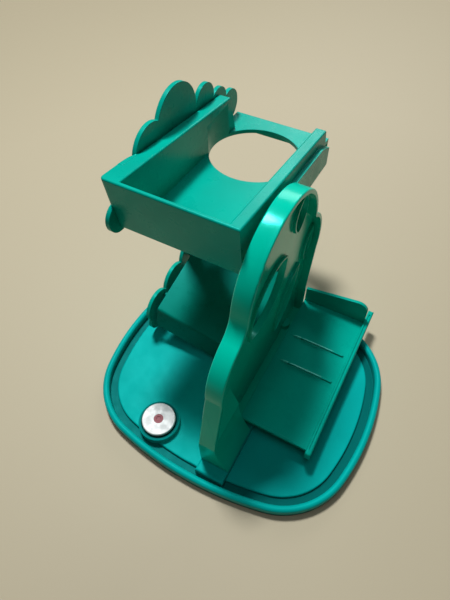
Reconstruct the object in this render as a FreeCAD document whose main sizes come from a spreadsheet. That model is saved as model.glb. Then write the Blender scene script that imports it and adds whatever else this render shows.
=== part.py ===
"""Tree-shaped play tower in moulded plastic, millimetres, +Z up.

The origin is the centre of the base tray on the surface that it stands on.  +X runs towards the
side tray, +Y towards the back.  Two tree panels stand on the base and carry a tilted top tray with
a round hole and a sloping deck between them; a low tray lies beside the right panel; a sprung
metal disc sits in a ring boss at the front of the base.
"""
import FreeCAD, Part
import math
import os
import re

import Sketcher
from FreeCAD import Placement, Rotation, Vector

# Driving dimensions: alias, value, what it is.
DIMENSIONS = (
    ("base_half_width", 105.0, "base tray, centre to side"),
    ("base_half_depth", 89.0, "base tray, centre to front"),
    ("base_corner", 56.0, "radius of the base outline's corners"),
    ("base_bulge_deg", 13.0, "turn of each side arc from its middle to a corner"),
    ("rim_top", 9.5, "height of the rolled rim"),
    ("rim_width", 5.0, "width of the rolled rim"),
    ("rim_round", 2.4, "rounding of the rim"),
    ("groove_width", 6.0, "groove between rim and raised floor"),
    ("groove_floor", 2.5, "height of the groove's floor"),
    ("floor_top", 5.0, "height of the raised floor"),
    ("floor_round", 1.0, "rounding of the raised floor's edge"),
    ("floor_wall", 2.0, "thickness of the raised floor"),
    ("bar_left", 5.0, "left side of the bar under the right panel"),
    ("bar_width", 22.0, "width of the bar"),
    ("bar_inset", 8.0, "from the base's edge to each end of the bar"),
    ("bar_top", 9.5, "top of the bar"),
    ("bar_round", 1.5, "rounding of the bar's top edges"),
    ("boss_x", -36.7, "centre of the ring boss"),
    ("boss_inset", 26.2, "from the base's front edge to the centre of the ring boss"),
    ("boss_radius", 15.5, "outside of the ring boss"),
    ("boss_wall", 2.5, "wall of the ring boss"),
    ("boss_top", 10.0, "top of the ring boss"),
    ("disc_gap", 0.6, "gap round the disc"),
    ("disc_plate", 2.4, "thickness of the disc"),
    ("disc_top", 13.2, "top face of the disc at rest"),
    ("stem_radius", 2.5, "guide stem under the disc"),
    ("stem_gap", 0.1, "running clearance of the stem"),
    ("stem_end", 1.8, "lower end of the stem at rest"),
    ("disc_cap_radius", 3.6, "red cap in the disc"),
    ("disc_cap_depth", 1.0, "depth of the cap's seat"),
    ("clip_radius", 5.0, "outside of the retaining clip"),
    ("clip_plate", 0.6, "thickness of the clip"),
    ("clip_groove", 0.6, "depth of the clip's groove in the stem"),
    ("spring_radius", 6.0, "mean radius of the spring"),
    ("spring_wire", 0.45, "radius of the spring's wire"),
    ("spring_turns", 4.0, "turns of the spring"),
    ("spring_gap", 0.3, "clearance at each end of the spring"),
    ("panel_left", 5.0, "left face of the right tree panel"),
    ("panel_depth", 12.0, "depth of the panel's rim along X"),
    ("panel_wall", 3.0, "width of the panel's rim"),
    ("panel_back_recess", 3.0, "recess on the panel's left side"),
    ("panel_web", 2.5, "thickness of the panel's web"),
    ("panel_round", 1.0, "rounding of the rim's edges"),
    ("crown_y", 24.0, "crown circle"),
    ("crown_z", 123.0, "crown circle"),
    ("crown_radius", 51.0, "crown circle"),
    ("front_lobe_y", -22.0, "front canopy circle"),
    ("front_lobe_z", 84.0, "front canopy circle"),
    ("front_lobe_radius", 37.0, "front canopy circle"),
    ("back_lobe_y", 55.0, "back canopy circle"),
    ("back_lobe_z", 96.0, "back canopy circle"),
    ("back_lobe_radius", 37.0, "back canopy circle"),
    ("valley_front_radius", 18.0, "hollow between the crown and the front circle"),
    ("valley_back_radius", 3.0, "hollow between the crown and the back circle"),
    ("foot_front_inset", 9.0, "from the bar's front end to the panel's foot"),
    ("foot_back_inset", 1.0, "from the bar's back end to the panel's foot"),
    ("foot_top", 40.0, "height where the canopy meets the foot"),
    ("foot_flare", 9.5, "spread of the foot's front part at the bar"),
    ("foot_flare_top", 46.0, "height where the spread begins"),
    ("foot_flare_gap", 0.7, "gap between the spread foot and the side tray"),
    ("foot_screw_front", 18.0, "from the foot's front to its front screw"),
    ("foot_screw_back", 24.0, "from the foot's back to its back screw"),
    ("collar_wall", 1.4, "wall of each leaf window's collar"),
    ("collar_height", 2.2, "height of the collars above the web"),
    ("plate_inset", 18.0, "from the base's left side to the left tree panel"),
    ("plate_depth", 3.0, "thickness of the left tree panel"),
    ("plate_trunk_front", 22.0, "front edge of the thin panel's foot"),
    ("plate_trunk_width", 26.0, "width of the thin panel's foot"),
    ("socket_wall", 2.0, "wall of the thin panel's socket"),
    ("socket_height", 3.0, "height of the socket above the raised floor"),
    ("seat_gap", 0.15, "clearance round a piece in its socket"),
    ("deck_gap", 0.3, "gap between the deck and the right tree panel"),
    ("deck_left_gap", 4.3, "gap between the deck and the left tree panel"),
    ("deck_front", 2.0, "foot of the deck's front face"),
    ("deck_back", 88.0, "back edge of the deck"),
    ("deck_nose_top", 37.0, "top of the deck at its front left corner"),
    ("deck_nose_height", 15.0, "height of the front face"),
    ("deck_nose_lean", 5.0, "how far the front face leans back"),
    ("deck_fall_deg", 10.5, "fall of the deck towards the right"),
    ("deck_rise", 17.0, "rise of the deck from front to back"),
    ("deck_wall", 2.5, "thickness of the deck"),
    ("deck_stop_height", 5.0, "height of the stop at the deck's back edge"),
    ("deck_pin_inset", 22.0, "from the deck's front and back edges to its pins"),
    ("tray_gap", 0.4, "gap between the top tray and the left tree panel"),
    ("flange_depth", 3.4, "way from the top tray's right face to the right tree panel"),
    ("tray_front", -7.0, "front face of the top tray at its top"),
    ("tray_draft", 3.5, "how far the front face leans in at its foot"),
    ("tray_top", 178.0, "top of the front wall"),
    ("tray_slope_deg", 8.8, "fall of the wall tops towards the back"),
    ("tray_wall_back", 124.0, "back end of the left wall at its top"),
    ("tray_right_wall_back", 116.0, "back end of the right wall at its top"),
    ("tray_wall_rake", 7.0, "how far the walls reach on at the floor"),
    ("tray_back", 152.0, "back edge of the tray's floor"),
    ("tray_floor_front", 141.5, "top of the floor at the front"),
    ("tray_floor_slope_deg", 4.9, "fall of the floor towards the back"),
    ("tray_floor_wall", 3.0, "thickness of the floor"),
    ("tray_skirt", 13.0, "depth of the skirt at the floor's back edge"),
    ("tray_skirt_wall", 2.0, "thickness of the skirt"),
    ("tray_left_wall", 9.2, "thickness of the left wall"),
    ("tray_right_wall", 7.6, "thickness of the right wall"),
    ("tray_front_wall", 3.0, "thickness of the front wall"),
    ("tray_edge_round", 1.2, "rounding of the walls' top edges"),
    ("corner_back", 11.0, "back end of that corner"),
    ("corner_bottom", 156.0, "lower edge of that corner"),
    ("corner_round", 3.2, "rounding of that corner"),
    ("hole_inset", 38.8, "from the tray's left face to the centre of the round hole"),
    ("hole_y", 105.0, "centre of the round hole"),
    ("hole_radius", 33.2, "radius of the round hole"),
    ("hole_bite_top", 155.0, "top of the hole's bite into the left wall"),
    ("flange_front", 12.0, "front end of the tray's side flange"),
    ("flange_back", 118.0, "back end of the tray's side flange"),
    ("flange_bottom", 139.0, "bottom of the flange at its front"),
    ("flange_height", 14.0, "height of the flange"),
    ("flange_fall", 7.0, "fall of the flange towards the back"),
    ("flange_pin_y", 24.0, "front pin between the flange and the right panel"),
    ("flange_pin_z", 146.0, "front pin between the flange and the right panel"),
    ("flange_pin_step_y", 18.0, "way from the front pin to the back pin"),
    ("flange_pin_step_z", 10.0, "way from the front pin to the back pin"),
    ("plate_pin_y", 30.0, "front pin between the tray and the thin panel"),
    ("plate_pin_z", 158.0, "front pin between the tray and the thin panel"),
    ("plate_pin_step_y", 68.0, "way from the front pin to the back pin"),
    ("plate_pin_step_z", -7.0, "way from the front pin to the back pin"),
    ("shelf_left", 17.3, "inner edge of the side tray"),
    ("shelf_width", 55.7, "width of the side tray over its rail"),
    ("shelf_front", -34.5, "front edge of the side tray's floor"),
    ("shelf_rail_front", -40.0, "front end of the rail"),
    ("shelf_back", 82.0, "face of the side tray's back wall"),
    ("shelf_rail_back", 94.0, "back end of the rail"),
    ("shelf_floor_top", 21.5, "top of the side tray's floor"),
    ("shelf_floor_wall", 2.0, "thickness of the side tray's floor"),
    ("rail_width", 4.4, "width of the rail"),
    ("rail_channel_width", 1.2, "channel along the rail's top"),
    ("rail_channel_depth", 0.8, "channel along the rail's top"),
    ("rail_top", 25.0, "top of the rail"),
    ("rail_bottom", 16.0, "bottom of the rail"),
    ("shelf_rib_height", 1.6, "height of the two ribs"),
    ("shelf_rib_width", 1.8, "width of the two ribs"),
    ("shelf_rib_front_y", 20.0, "front rib"),
    ("shelf_rib_back_y", 45.0, "back rib"),
    ("shelf_rib_reach", 35.0, "length of the ribs"),
    ("shelf_rib_start", 30.0, "left end of the ribs"),
    ("shelf_wall_left_top", 36.0, "top of the back wall beside the panel"),
    ("shelf_wall_right_top", 45.0, "top of the back wall at its right"),
    ("shelf_wall_plate", 2.5, "thickness of the back wall"),
    ("shelf_wall_corner", 8.0, "rounding of the back wall's right corner"),
    ("shelf_lug_length", 14.0, "length of the lugs under the side tray"),
    ("shelf_lug_width", 5.0, "width of the lugs under the side tray"),
    ("screw_radius", 1.5, "shank of every screw"),
    ("screw_length", 12.0, "shank length of every screw"),
    ("screw_head_radius", 3.0, "head of every screw"),
    ("screw_head_height", 1.8, "height of a screw's head"),
    ("pin_radius", 2.0, "pins that carry the deck and the thin panel"),
    ("pin_gap", 0.05, "clearance of a pin in its hole"),
)

# Windows in the right panel: name, centre Y, centre Z, length, width, turn in degrees.
LEAVES = (
    ("top", 56.0, 140.0, 27.0, 17.0, 78.0),
    ("back", 80.0, 92.0, 26.0, 9.0, 62.0),
    ("large", 13.0, 103.0, 58.0, 36.0, 30.0),
    ("low", 48.0, 61.0, 54.0, 19.0, 49.0),
)

# Scallops of the left panel: name, centre Y, centre Z, radius.
SCALLOPS = (
    ("crown_front", -1.3, 144.7, 10.6),
    ("crown_second", 40.1, 165.8, 17.5),
    ("crown_middle", 70.2, 169.1, 23.1),
    ("crown_fourth", 105.3, 163.2, 11.8),
    ("crown_fifth", 123.7, 151.2, 11.3),
    ("crown_back", 140.1, 139.9, 12.3),
    ("bush_low", 10.0, 18.0, 9.2),
    ("bush_front", 15.1, 30.3, 14.3),
    ("bush_middle", 41.8, 34.3, 15.4),
    ("bush_back", 67.4, 42.5, 14.9),
)

# Places that follow from the sizes.
BAR_HALF = "(base_half_depth - bar_inset)"
BOSS = ("boss_x", "boss_inset - base_half_depth")
FOOT_FRONT = f"(foot_front_inset - {BAR_HALF})"
FOOT_BACK = f"({BAR_HALF} - foot_back_inset)"
BASE_SCREWS = (f"{FOOT_FRONT} + foot_screw_front", f"{FOOT_BACK} - foot_screw_back")
SCREW_REACH = "(groove_floor + screw_length + seat_gap - bar_top)"
PANEL_MIDDLE = "(panel_left + panel_depth / 2)"
WEB_LEFT = "(panel_left + panel_back_recess)"
CANOPY = ("crown", "front_lobe", "back_lobe")
PLATE_LEFT = "(plate_inset - base_half_width)"
PLATE_RIGHT = f"({PLATE_LEFT} + plate_depth)"
DECK_LEFT = f"({PLATE_RIGHT} + deck_left_gap)"
DECK_RIGHT = "(panel_left - deck_gap)"
DECK_DROP = f"(({DECK_RIGHT} - {DECK_LEFT}) * tan(deck_fall_deg * 1 deg))"
DECK_PINS_Y = ("deck_front + deck_pin_inset", "deck_back - deck_pin_inset")
TRAY_LEFT = f"({PLATE_RIGHT} + tray_gap)"
TRAY_RIGHT = "(panel_left - flange_depth)"
HOLE = (f"{TRAY_LEFT} + hole_inset", "hole_y")
FLANGE_PINS = (("flange_pin_y", "flange_pin_z"),
               ("flange_pin_y + flange_pin_step_y", "flange_pin_z + flange_pin_step_z"))
PLATE_PINS = (("plate_pin_y", "plate_pin_z"),
              ("plate_pin_y + plate_pin_step_y", "plate_pin_z + plate_pin_step_z"))
SIDE_RIGHT = "(shelf_left + shelf_width)"
CLIP_TOP = "(floor_top - floor_wall - spring_gap)"

doc = FreeCAD.newDocument("play_tower")
sheet = doc.addObject("Spreadsheet::Sheet", "sizes")


def fill_sheet():
    """Write every driving dimension into the sheet."""
    rows = list(DIMENSIONS)
    for name, y, z, length, width, turn in LEAVES:
        rows += [(f"leaf_{name}_y", y, "window centre"), (f"leaf_{name}_z", z, "window centre")]
        rows += [(f"leaf_{name}_length", length, "window length"),
                 (f"leaf_{name}_width", width, "window width"),
                 (f"leaf_{name}_turn", turn, "window turn")]
    for name, y, z, radius in SCALLOPS:
        rows += [(f"{name}_y", y, "scallop centre"), (f"{name}_z", z, "scallop centre"),
                 (f"{name}_radius", radius, "scallop radius")]
    for row, (alias, value, note) in enumerate(rows, start=1):
        sheet.set(f"A{row}", note)
        sheet.set(f"B{row}", str(value))
        sheet.setAlias(f"B{row}", alias)
    doc.recompute()


def bound(expression):
    """Point the names in an expression at the sheet."""
    return re.sub(r"[a-z]+(?:_[a-z]+)+", lambda word: "sizes." + word.group(), str(expression))


def size(expression):
    """Value of an expression in the sheet's names."""
    return float(sheet.evalExpression(bound(expression)))


def new_body(name):
    """An empty body whose label names its file."""
    body = doc.addObject("PartDesign::Body", name)
    body.Label = name
    return body


def sketch_on(body, name, role, level="0", at=("0", "0"), turn="0"):
    """A sketch on one of the body's origin planes, lifted to level and moved to at."""
    sketch = body.newObject("Sketcher::SketchObject", f"{body.Name}_{name}")
    origin_plane = next(item for item in body.Origin.OriginFeatures if item.Role == role)
    sketch.AttachmentSupport = [(origin_plane, "")]
    sketch.MapMode = "FlatFace"
    sketch.setExpression("AttachmentOffset.Base.x", bound(at[0]))
    sketch.setExpression("AttachmentOffset.Base.y", bound(at[1]))
    sketch.setExpression("AttachmentOffset.Base.z", bound(level))
    sketch.setExpression("AttachmentOffset.Rotation.Angle", bound(turn))
    return sketch


def add_circle(sketch, radius, at=None):
    """A circle at the sketch's origin, or at a point held by two bound distances."""
    place = Vector(*(size(value) for value in at), 0) if at else Vector()
    index = sketch.addGeometry(Part.Circle(place, Vector(0, 0, 1), size(radius)), False)
    if at:
        hold_point(sketch, index, 3, at)
    else:
        sketch.addConstraint(Sketcher.Constraint("Coincident", index, 3, -1, 1))
    held = sketch.addConstraint(Sketcher.Constraint("Radius", index, size(radius)))
    sketch.setExpression(f"Constraints[{held}]", bound(radius))


def hold_point(sketch, index, corner, at):
    """Bind both coordinates of a point of the sketch."""
    for word, value in zip(("DistanceX", "DistanceY"), at):
        held = sketch.addConstraint(Sketcher.Constraint(word, -1, 1, index, corner, size(value)))
        sketch.setExpression(f"Constraints[{held}]", bound(value))


def add_outline(sketch, points, hollows=None):
    """A closed outline through points given as expressions, counterclockwise.

    Its sides are straight lines, but a side whose number is in hollows bends inwards as an arc
    through the point given there.
    """
    hollows = hollows or {}
    places = [Vector(size(x), size(y), 0) for x, y in points]
    count = len(points)
    start = sketch.GeometryCount
    for index in range(count):
        here, there = places[index], places[(index + 1) % count]
        if index in hollows:
            middle = Vector(*(size(value) for value in hollows[index]), 0)
            sketch.addGeometry(Part.Arc(there, middle, here), False)
        else:
            sketch.addGeometry(Part.LineSegment(here, there), False)
    for index in range(count):
        following = (index + 1) % count
        end = 1 if index in hollows else 2
        begin = 2 if following in hollows else 1
        sketch.addConstraint(Sketcher.Constraint("Coincident", start + index, end, start + following, begin))
        hold_point(sketch, start + index, 3 - end, points[index])


def box_points(x_low, x_high, y_low, y_high):
    """The corners of a rectangle for add_outline."""
    return [(x_low, y_low), (x_high, y_low), (x_high, y_high), (x_low, y_high)]


def pad(body, sketch, length, back=False):
    """Add the sketch's profile to the body along its normal."""
    feature = body.newObject("PartDesign::Pad", f"{sketch.Name}_pad")
    feature.Profile = sketch
    feature.Reversed = back
    feature.setExpression("Length", bound(length))
    sketch.Visibility = False
    return feature


def pocket(body, sketch, length, forward=False):
    """Cut the profile out of the body, against the sketch's normal unless forward is set."""
    doc.recompute()
    before = body.Shape.Volume
    feature = body.newObject("PartDesign::Pocket", f"{sketch.Name}_cut")
    feature.Profile = sketch
    feature.Reversed = forward
    feature.setExpression("Length", bound(length))
    sketch.Visibility = False
    doc.recompute()
    if not body.Shape.Volume < before:
        raise RuntimeError(f"{sketch.Name} cuts nothing")
    return feature


def round_edges(body, name, radius, chosen):
    """Fillet the edges of the body that chosen picks."""
    doc.recompute()
    tip = body.Tip
    names = [f"Edge{number}" for number, edge in enumerate(tip.Shape.Edges, start=1) if chosen(edge)]
    feature = body.newObject("PartDesign::Fillet", f"{body.Name}_{name}")
    feature.Base = (tip, names)
    feature.setExpression("Radius", bound(radius))
    doc.recompute()
    return feature


def at_level(edge, axis, level):
    """True where the whole edge lies at one coordinate."""
    box = edge.BoundBox
    low = (box.XMin, box.YMin, box.ZMin)[axis]
    high = (box.XMax, box.YMax, box.ZMax)[axis]
    return abs(low - level) < 0.01 and abs(high - level) < 0.01


def add_cushion(sketch, inset="0"):
    """The base's outline, moved in by inset: eight arcs that meet in tangent.

    A side arc turns by the bulge angle from its middle, and a corner arc by what is left of the
    quarter.  The two side radii follow from the half width and the half depth.
    """
    bulge = math.radians(size("base_bulge_deg"))
    corner = size("base_corner")
    sine, cosine = math.sin(bulge), math.cos(bulge)
    width = size("base_half_width") - corner * (cosine - sine)
    depth = size("base_half_depth") - corner * (cosine - sine)
    spread = sine * sine - (1 - cosine) ** 2
    front = (width * sine - depth * (1 - cosine)) / spread
    side = (depth * sine - width * (1 - cosine)) / spread
    middle_x = (front - corner) * sine
    middle_y = (side - corner) * sine
    drop = size(inset)
    quarter = math.pi / 2
    centres = ((0, size("base_half_depth") - front, front, quarter - bulge, 2 * bulge),
               (-middle_x, middle_y, corner, quarter + bulge, quarter - 2 * bulge),
               (side - size("base_half_width"), 0, side, 2 * quarter - bulge, 2 * bulge),
               (-middle_x, -middle_y, corner, 2 * quarter + bulge, quarter - 2 * bulge),
               (0, front - size("base_half_depth"), front, 3 * quarter - bulge, 2 * bulge),
               (middle_x, -middle_y, corner, 3 * quarter + bulge, quarter - 2 * bulge),
               (size("base_half_width") - side, 0, side, -bulge, 2 * bulge),
               (middle_x, middle_y, corner, bulge, quarter - 2 * bulge))
    for x, y, radius, start, turn in centres:
        circle = Part.Circle(Vector(x, y, 0), Vector(0, 0, 1), radius - drop)
        index = sketch.addGeometry(Part.ArcOfCircle(circle, start, start + turn), False)
        sketch.addConstraint(Sketcher.Constraint("Block", index))


def make_base():
    """The base tray with its rim, raised floor, bar, ring boss and panel socket."""
    body = new_body("base_tray")
    blank = sketch_on(body, "blank", "XY_Plane")
    add_cushion(blank)
    pad(body, blank, "rim_top")
    inner = sketch_on(body, "inner", "XY_Plane", "rim_top")
    add_cushion(inner, "rim_width")
    pocket(body, inner, "rim_top - groove_floor")
    floor = sketch_on(body, "floor", "XY_Plane", "groove_floor")
    add_cushion(floor, "rim_width + groove_width")
    pad(body, floor, "floor_top - groove_floor")
    round_edges(body, "floor_edge", "floor_round", lambda edge: at_level(edge, 2, size("floor_top")))
    under = sketch_on(body, "under", "XY_Plane")
    add_cushion(under, "rim_width + groove_width + floor_wall")
    pocket(body, under, "floor_top - floor_wall", forward=True)
    round_edges(body, "rim_edge", "rim_round", lambda edge: at_level(edge, 2, size("rim_top")))
    bar = sketch_on(body, "bar", "XY_Plane", "groove_floor")
    add_outline(bar, box_points("bar_left", "bar_left + bar_width",
                                f"0 - {BAR_HALF}", BAR_HALF))
    pad(body, bar, "bar_top - groove_floor")
    round_edges(body, "bar_edge", "bar_round", lambda edge: at_level(edge, 2, size("bar_top")))
    boss = sketch_on(body, "boss", "XY_Plane", "floor_top - floor_wall", BOSS)
    add_circle(boss, "boss_radius")
    pad(body, boss, "boss_top - floor_top + floor_wall")
    well = sketch_on(body, "well", "XY_Plane", "boss_top", BOSS)
    add_circle(well, "boss_radius - boss_wall")
    pocket(body, well, "boss_top - floor_top")
    bore = sketch_on(body, "bore", "XY_Plane", "floor_top", BOSS)
    add_circle(bore, "stem_radius + stem_gap")
    pocket(body, bore, "floor_top")
    round_edges(body, "boss_edge", "boss_wall * 0.35", lambda edge: at_level(edge, 2, size("boss_top")))
    socket = sketch_on(body, "socket", "XY_Plane", "floor_top - floor_wall")
    gap = "seat_gap"
    add_outline(socket, box_points(f"{PLATE_LEFT} - {gap} - socket_wall",
                                   f"{PLATE_RIGHT} + {gap} + socket_wall",
                                   f"plate_trunk_front - {gap} - socket_wall",
                                   f"plate_trunk_front + plate_trunk_width + {gap} + socket_wall"))
    pad(body, socket, "floor_wall + socket_height")
    slot = sketch_on(body, "slot", "XY_Plane", "floor_top + socket_height")
    add_outline(slot, box_points(f"{PLATE_LEFT} - {gap}", f"{PLATE_RIGHT} + {gap}",
                                 f"plate_trunk_front - {gap}",
                                 f"plate_trunk_front + plate_trunk_width + {gap}"))
    pocket(body, slot, "socket_height")
    for number, y in enumerate(BASE_SCREWS):
        hole = sketch_on(body, f"screw_hole_{number}", "XY_Plane", "bar_top", (PANEL_MIDDLE, y))
        add_circle(hole, "screw_radius + pin_gap")
        pocket(body, hole, "bar_top")
    return body


def deck_height(y):
    """Height of the deck's top at y."""
    return f"(deck_nose_top + deck_rise * ({y} - deck_front) / (deck_back - deck_front))"


def deck_pin(y, drop="0"):
    """Place of a deck pin in the YZ plane, a little below the deck."""
    return (y, f"{deck_height(y)} - {drop} - deck_wall - pin_radius * 2")


def trunk_points(inset):
    """The lower body of the right panel between its canopy circles and its foot."""
    return [(f"{FOOT_FRONT} + {inset}", f"bar_top + {inset}"),
            (f"{FOOT_BACK} - {inset}", f"bar_top + {inset}"),
            (f"{FOOT_BACK} - {inset}", "foot_top"),
            (f"back_lobe_y + back_lobe_radius - {inset}", "back_lobe_z"),
            ("crown_y", "crown_z"),
            (f"front_lobe_y - front_lobe_radius + {inset}", "front_lobe_z"),
            (f"{FOOT_FRONT} + {inset}", "foot_top")]


def add_leaf(sketch, name, grow):
    """An almond outline along the sketch's x axis: two equal arcs that meet at both tips."""
    half_length = f"(leaf_{name}_length / 2 + {grow})"
    half_width = f"(leaf_{name}_width / 2 + {grow})"
    tip, rise = size(half_length), size(half_width)
    ends = (Vector(-tip, 0, 0), Vector(tip, 0, 0))
    radius = f"({half_length} ^ 2 + {half_width} ^ 2) / (2 * {half_width})"
    for start, end, side in ((0, 1, -rise), (1, 0, rise)):
        curve = Part.Arc(ends[start], Vector(0, side, 0), ends[end])
        index = sketch.addGeometry(curve, False)
        held = sketch.addConstraint(Sketcher.Constraint("Radius", index, size(radius)))
        sketch.setExpression(f"Constraints[{held}]", bound(radius))
    sketch.addConstraint(Sketcher.Constraint("Coincident", 0, 2, 1, 1))
    sketch.addConstraint(Sketcher.Constraint("Coincident", 0, 1, 1, 2))
    hold_point(sketch, 0, 1, (f"0 - {half_length}", "0"))
    hold_point(sketch, 0, 2, (half_length, "0"))


def canopy(body, name, level, length, inset, cut=False, forward=False):
    """Pad or pocket the right panel's whole silhouette, moved in by inset."""
    sketches = []
    for lobe in CANOPY:
        place = (f"{lobe}_y", f"{lobe}_z")
        sketch = sketch_on(body, f"{name}_{lobe}", "YZ_Plane", level, place)
        add_circle(sketch, f"{lobe}_radius - {inset}")
        sketches.append(sketch)
    trunk = sketch_on(body, f"{name}_trunk", "YZ_Plane", level)
    add_outline(trunk, trunk_points(inset))
    sketches.append(trunk)
    for sketch in sketches:
        if cut:
            pocket(body, sketch, length, forward)
        else:
            pad(body, sketch, length)
    doc.recompute()
    across = size(length)
    for hand, way in (("front", -1), ("back", 1)):
        round_edges(body, f"{name}_valley_{hand}", f"valley_{hand}_radius + {inset}",
                    lambda edge: is_valley(edge, across, way))


def is_valley(edge, across, way):
    """True for the edge along X where the crown meets its front (-1) or back (1) neighbour."""
    box = edge.BoundBox
    straight = abs(box.XLength - across) < 0.01 and box.YLength < 0.01 and box.ZLength < 0.01
    beside = way * (box.YMin - size("crown_y")) > 0
    return straight and beside and box.ZMin > size("crown_z - crown_radius / 4")


def make_right_panel():
    """The thick tree panel: rim all round, recessed web, leaf windows with collars, foot."""
    body = new_body("right_tree_panel")
    canopy(body, "blank", "panel_left", "panel_depth", "0")
    outer = ("panel_left", "panel_left + panel_depth")
    for number, level in enumerate(outer):
        face = size(level)
        round_edges(body, f"rim_{number}", "panel_round",
                    lambda edge: at_level(edge, 0, face) and edge.BoundBox.ZMin > size("foot_top") - 0.1)
    canopy(body, "face", "panel_left + panel_depth",
           "panel_depth - panel_back_recess - panel_web", "panel_wall", cut=True)
    canopy(body, "back", "panel_left", "panel_back_recess", "panel_wall", cut=True, forward=True)
    flare = sketch_on(body, "flare", "XZ_Plane", f"0 - {FOOT_FRONT}")
    face = "panel_left + panel_depth"
    add_outline(flare, [(WEB_LEFT, "bar_top"), (f"{face} + foot_flare", "bar_top"),
                        (face, "foot_flare_top"), (WEB_LEFT, "foot_flare_top + panel_depth * 2")],
                {1: (f"{face} + foot_flare / 4", "(bar_top + foot_flare_top) / 2")})
    pad(body, flare, f"shelf_front - shelf_rib_width - foot_flare_gap - {FOOT_FRONT}", back=True)
    for name, *_ in LEAVES:
        place = (f"leaf_{name}_y", f"leaf_{name}_z")
        collar = sketch_on(body, f"collar_{name}", "YZ_Plane", WEB_LEFT, place, f"leaf_{name}_turn")
        add_leaf(collar, name, "collar_wall")
        pad(body, collar, "panel_web + collar_height")
    for name, *_ in LEAVES:
        place = (f"leaf_{name}_y", f"leaf_{name}_z")
        window = sketch_on(body, f"window_{name}", "YZ_Plane", "panel_left", place,
                           f"leaf_{name}_turn")
        add_leaf(window, name, "0")
        pocket(body, window, "panel_depth", forward=True)
    seats = [(f"flange_{number}", place) for number, place in enumerate(FLANGE_PINS)]
    seats += [(f"deck_{number}", deck_pin(y, DECK_DROP)) for number, y in enumerate(DECK_PINS_Y)]
    for name, place in seats:
        seat = sketch_on(body, f"seat_{name}", "YZ_Plane", "panel_left", place)
        add_circle(seat, "pin_radius + panel_wall")
        pad(body, seat, "panel_back_recess + panel_web")
        hole = sketch_on(body, f"hole_{name}", "YZ_Plane", "panel_left", place)
        add_circle(hole, "pin_radius + pin_gap")
        pocket(body, hole, "panel_back_recess", forward=True)
    for number, y in enumerate(BASE_SCREWS):
        column = sketch_on(body, f"foot_boss_{number}", "XY_Plane", "bar_top", (PANEL_MIDDLE, y))
        add_circle(column, "screw_head_radius + panel_wall / 2")
        pad(body, column, f"{SCREW_REACH} + panel_wall")
        hole = sketch_on(body, f"foot_hole_{number}", "XY_Plane", "bar_top", (PANEL_MIDDLE, y))
        add_circle(hole, "screw_radius")
        pocket(body, hole, SCREW_REACH, forward=True)
    return body


def make_left_panel():
    """The thin tree panel: scalloped crown, trunk and bush in one plate, with a foot tab."""
    body = new_body("left_tree_panel")
    for name, *_ in SCALLOPS:
        lobe = sketch_on(body, name, "YZ_Plane", PLATE_LEFT, (f"{name}_y", f"{name}_z"))
        add_circle(lobe, f"{name}_radius")
        pad(body, lobe, "plate_depth")
    fills = {
        "crown": [("crown_front_y", "crown_front_z - crown_front_radius * 0.7"),
                  ("crown_back_y", "crown_back_z - crown_back_radius * 0.7"),
                  ("crown_back_y", "crown_back_z"),
                  ("crown_fourth_y", "crown_fourth_z"),
                  ("crown_middle_y", "crown_middle_z"),
                  ("crown_second_y", "crown_second_z"),
                  ("crown_front_y", "crown_front_z")],
        "trunk": [("bush_back_y - bush_back_radius * 0.5", "bush_front_z"),
                  ("bush_back_y + bush_back_radius * 0.9", "bush_front_z"),
                  ("bush_back_y + bush_back_radius * 0.9", "crown_front_z"),
                  ("bush_back_y - bush_back_radius * 0.5", "crown_front_z")],
        "foot": [("plate_trunk_front", "floor_top"),
                 ("plate_trunk_front + plate_trunk_width", "floor_top"),
                 ("plate_trunk_front + plate_trunk_width", "floor_top + socket_height * 1.5"),
                 ("bush_back_y", "bush_back_z - bush_back_radius * 0.8"),
                 ("bush_back_y", "bush_back_z"),
                 ("bush_front_y", "bush_front_z"),
                 ("plate_trunk_front", "bush_front_z - bush_front_radius * 0.6")],
    }
    for name, points in fills.items():
        fill = sketch_on(body, f"{name}_fill", "YZ_Plane", PLATE_LEFT)
        add_outline(fill, points)
        pad(body, fill, "plate_depth")
    places = [deck_pin(y) for y in DECK_PINS_Y] + list(PLATE_PINS)
    for number, place in enumerate(places):
        hole = sketch_on(body, f"pin_hole_{number}", "YZ_Plane", PLATE_LEFT, place)
        add_circle(hole, "pin_radius + pin_gap")
        pocket(body, hole, "plate_depth", forward=True)
    return body


def floor_height(y, slope="tray_floor_slope_deg"):
    """Height of the top tray's floor at y."""
    return f"(tray_floor_front - ({y} - tray_front) * tan({slope} * 1 deg))"


def wall_height(y):
    """Height of the top tray's wall tops at y."""
    return f"(tray_top - ({y} - tray_front) * tan(tray_slope_deg * 1 deg))"


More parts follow.
